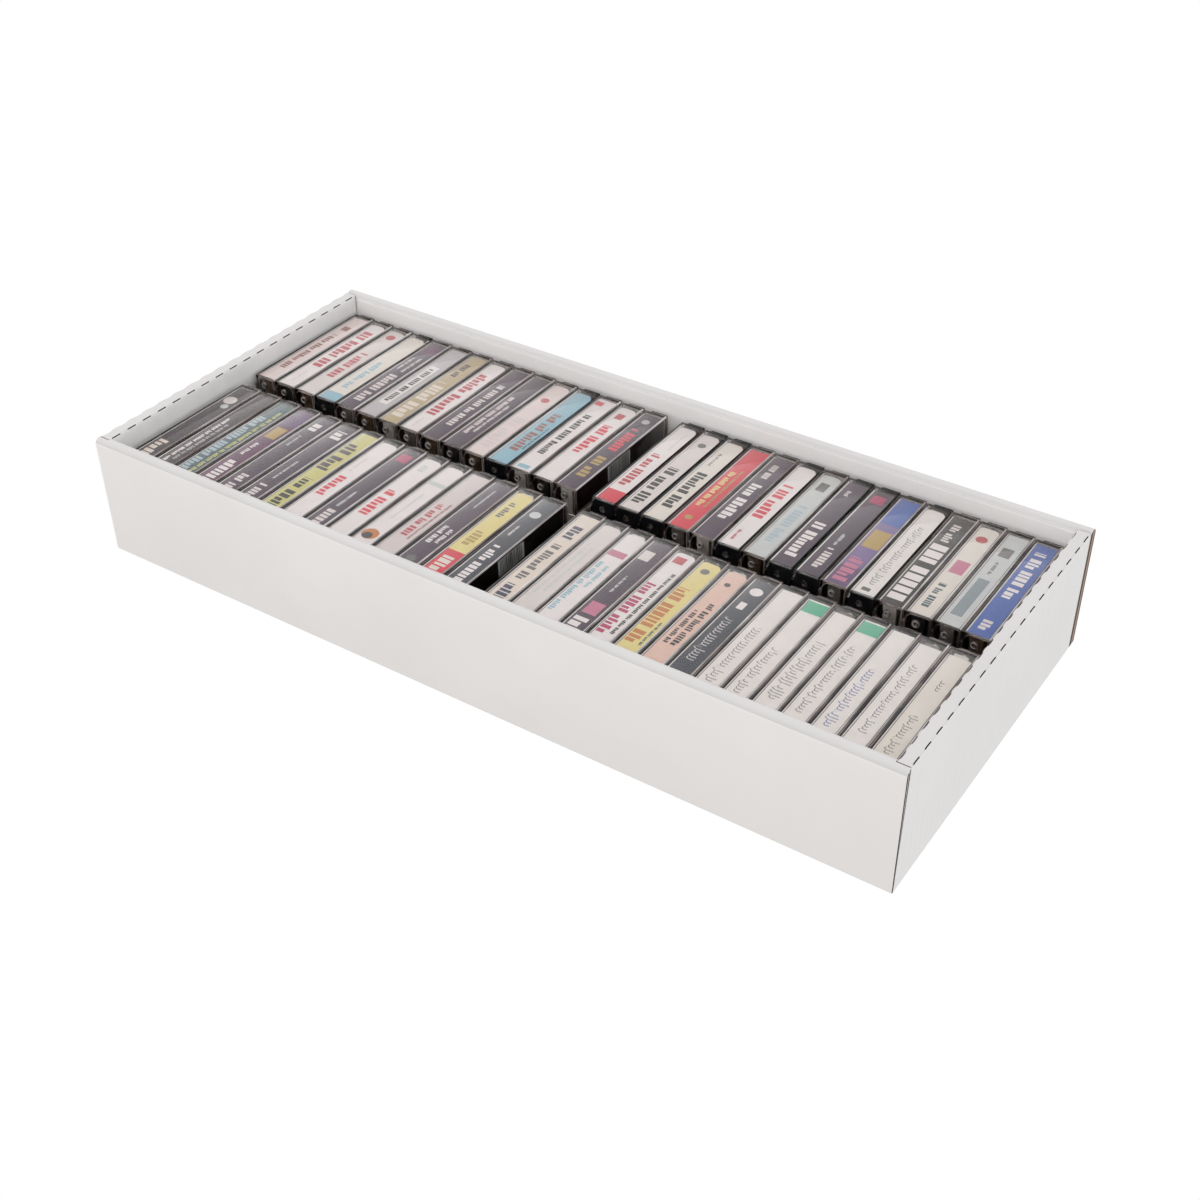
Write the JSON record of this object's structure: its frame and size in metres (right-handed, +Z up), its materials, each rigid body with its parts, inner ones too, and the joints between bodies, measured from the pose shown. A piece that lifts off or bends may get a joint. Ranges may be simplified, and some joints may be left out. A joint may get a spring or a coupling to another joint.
{
  "type": "cassette case storage tray",
  "caption": "Open folded corrugated tray filled with hinged clear cassette cases standing spine up in two rows; cases beside the middle gap lift out and their lids open.",
  "frame": {"origin": "middle of the tray's underside", "axes": "+X along the long side, to the right; -Y is the front; +Z up"},
  "size_m": [0.569, 0.254, 0.0855],
  "materials": {
    "white_board": "white-lined corrugated board, matt, with brown kraft at its cut edges",
    "clear_styrene": "clear moulded polystyrene, glossy",
    "black_styrene": "black moulded polystyrene, glossy",
    "printed_card": "coated card in plain colours, satin",
    "cassette_shell": "moulded polystyrene, finely grained",
    "hub_plastic": "white acetal, smooth",
    "magnetic_tape": "dark brown oxide, satin",
    "graphite_sheet": "graphite-coated film",
    "window_pane": "clear styrene pane",
    "label_paper": "plain label paper",
    "felt": "pressed felt",
    "bronze": "phosphor bronze strip",
    "steel": "bright steel"
  },
  "bodies": {
    "tray": {"front_left_case_bases": "clear_styrene", "front_left_case_lids": "clear_styrene", "front_left_cassettes": "cassette_shell", "front_left_j_cards": "printed_card", "front_right_case_bases": "clear_styrene", "front_right_case_lids": "clear_styrene", "front_right_cassettes": "cassette_shell", "front_right_j_cards": "printed_card", "rear_left_black_case_bases": "black_styrene", "rear_left_case_bases": "clear_styrene", "rear_left_case_lids": "clear_styrene", "rear_left_cassettes": "cassette_shell", "rear_left_j_cards": "printed_card", "rear_right_black_case_bases": "black_styrene", "rear_right_case_bases": "clear_styrene", "rear_right_case_lids": "clear_styrene", "rear_right_cassettes": "cassette_shell", "rear_right_j_cards": "printed_card", "tray_back_wall": "white_board", "tray_floor": "white_board", "tray_front_wall": "white_board", "tray_left_end_wall": "white_board", "tray_right_end_wall": "white_board"},
    "front_right_case": {"front_right_gap_case_base": "clear_styrene"},
    "front_right_lid": {"front_right_gap_case_lid": "clear_styrene", "front_right_gap_case_j_card": "printed_card", "cassette_guide_roller_left": "hub_plastic", "cassette_guide_roller_right": "hub_plastic", "cassette_hub_left": "hub_plastic", "cassette_hub_right": "hub_plastic", "cassette_label_back": "label_paper", "cassette_label_front": "label_paper", "cassette_leader_clips": "hub_plastic", "cassette_magnetic_shield": "steel", "cassette_pad_spring": "bronze", "cassette_pressure_pad": "felt", "cassette_roller_pins": "steel", "cassette_shell_back": "cassette_shell", "cassette_shell_front": "cassette_shell", "cassette_slip_sheet_back": "graphite_sheet", "cassette_slip_sheet_front": "graphite_sheet", "cassette_tape_pack_left": "magnetic_tape", "cassette_tape_pack_right": "magnetic_tape", "cassette_tape_run": "magnetic_tape", "cassette_window_back": "window_pane", "cassette_window_front": "window_pane"},
    "rear_right_case": {"rear_right_gap_case_base": "black_styrene"},
    "rear_right_lid": {"rear_right_gap_case_lid": "clear_styrene", "rear_right_gap_case_j_card": "printed_card", "rear_right_gap_case_cassette": "cassette_shell"},
    "front_left_case": {"front_left_gap_case_base": "clear_styrene", "front_left_gap_case_cassette": "cassette_shell", "front_left_gap_case_j_card": "printed_card", "front_left_gap_case_lid": "clear_styrene"},
    "rear_left_case": {"rear_left_gap_case_base": "clear_styrene", "rear_left_gap_case_cassette": "cassette_shell", "rear_left_gap_case_j_card": "printed_card", "rear_left_gap_case_lid": "clear_styrene"}
  },
  "joints": [
    {"name": "front_right_case_lift", "type": "slide", "parent": "tray", "child": "front_right_case", "axis": [0, 0, 1], "range_m": [0, 0.58]},
    {"name": "front_right_lid_hinge", "type": "hinge", "parent": "front_right_case", "child": "front_right_lid", "pos_m": [0.01983, -0.0618, 0.0673], "axis": [0, 1, 0], "range_deg": [0, 90]},
    {"name": "rear_right_case_lift", "type": "slide", "parent": "tray", "child": "rear_right_case", "axis": [0, 0, 1], "range_m": [0, 0.58]},
    {"name": "rear_right_lid_hinge", "type": "hinge", "parent": "rear_right_case", "child": "rear_right_lid", "pos_m": [0.01621, 0.06, 0.0673], "axis": [0, 1, 0], "range_deg": [0, 72]},
    {"name": "front_left_case_lift", "type": "slide", "parent": "tray", "child": "front_left_case", "axis": [0, 0, 1], "range_m": [0, 0.12]},
    {"name": "rear_left_case_lift", "type": "slide", "parent": "tray", "child": "rear_left_case", "axis": [0, 0, 1], "range_m": [0, 0.12]}
  ],
  "couplings": [
    {"joint": "front_right_lid_hinge", "follows": "front_right_case_lift", "rad_per_m": 2.7082},
    {"joint": "rear_right_lid_hinge", "follows": "rear_right_case_lift", "rad_per_m": 2.1666}
  ]
}
